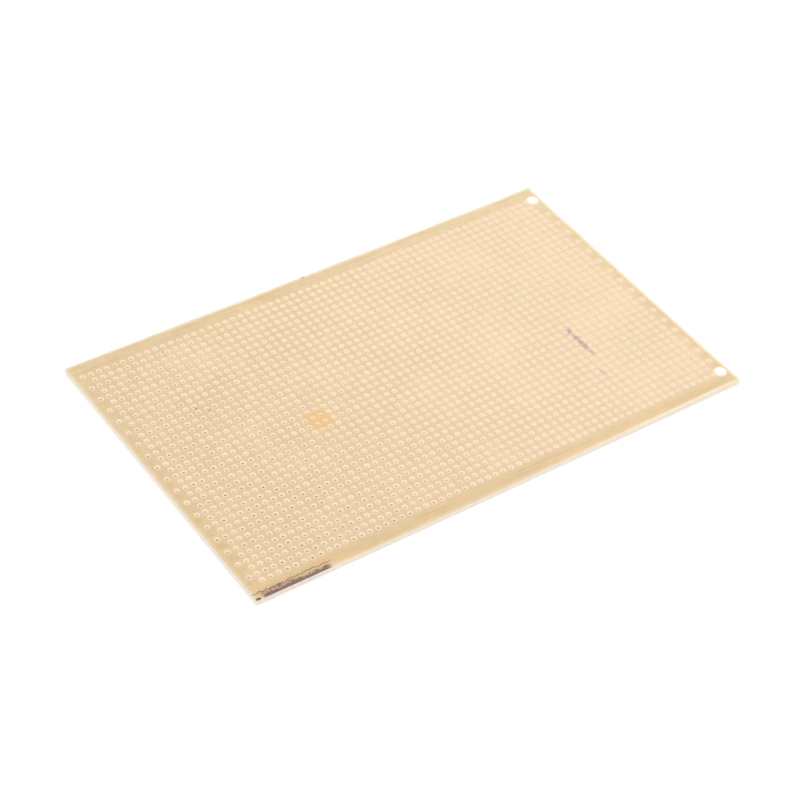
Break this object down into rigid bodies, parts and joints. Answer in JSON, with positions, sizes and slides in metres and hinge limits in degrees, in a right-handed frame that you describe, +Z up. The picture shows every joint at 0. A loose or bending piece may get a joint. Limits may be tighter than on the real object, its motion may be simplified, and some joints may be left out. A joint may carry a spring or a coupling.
{
  "type": "prototype board",
  "caption": "Flat perforated board with a square grid of lead holes, a copper pad round each one underneath, and connector fixing holes at one short edge.",
  "frame": {"origin": "on the surface that the board lies on, under the middle of its outline", "axes": "+X along the length towards the short edge with the connector fixings, +Y across the width, +Z up, out of the plain component side"},
  "size_m": [0.16, 0.1, 0.0019],
  "materials": {
    "laminate": "pale tan glass-epoxy laminate, satin, with a whitened ring round each punched hole",
    "copper": "etched copper foil under a thin clear lacquer, slightly dull"
  },
  "bodies": {
    "root": {"laminate": "laminate", "pad_row_01": "copper", "pad_row_02": "copper", "pad_row_03": "copper", "pad_row_04": "copper", "pad_row_05": "copper", "pad_row_06": "copper", "pad_row_07": "copper", "pad_row_08": "copper", "pad_row_09": "copper", "pad_row_10": "copper", "pad_row_11": "copper", "pad_row_12": "copper", "pad_row_13": "copper", "pad_row_14": "copper", "pad_row_15": "copper", "pad_row_16": "copper", "pad_row_17": "copper", "pad_row_18": "copper", "pad_row_19": "copper", "pad_row_20": "copper", "pad_row_21": "copper", "pad_row_22": "copper", "pad_row_23": "copper", "pad_row_24": "copper", "pad_row_25": "copper", "pad_row_26": "copper", "pad_row_27": "copper", "pad_row_28": "copper", "pad_row_29": "copper", "pad_row_30": "copper", "pad_row_31": "copper", "pad_row_32": "copper", "pad_row_33": "copper", "pad_row_34": "copper", "pad_row_35": "copper", "pad_row_36": "copper", "left_edge_pads": "copper", "right_edge_pads": "copper"}
  },
  "joints": []
}
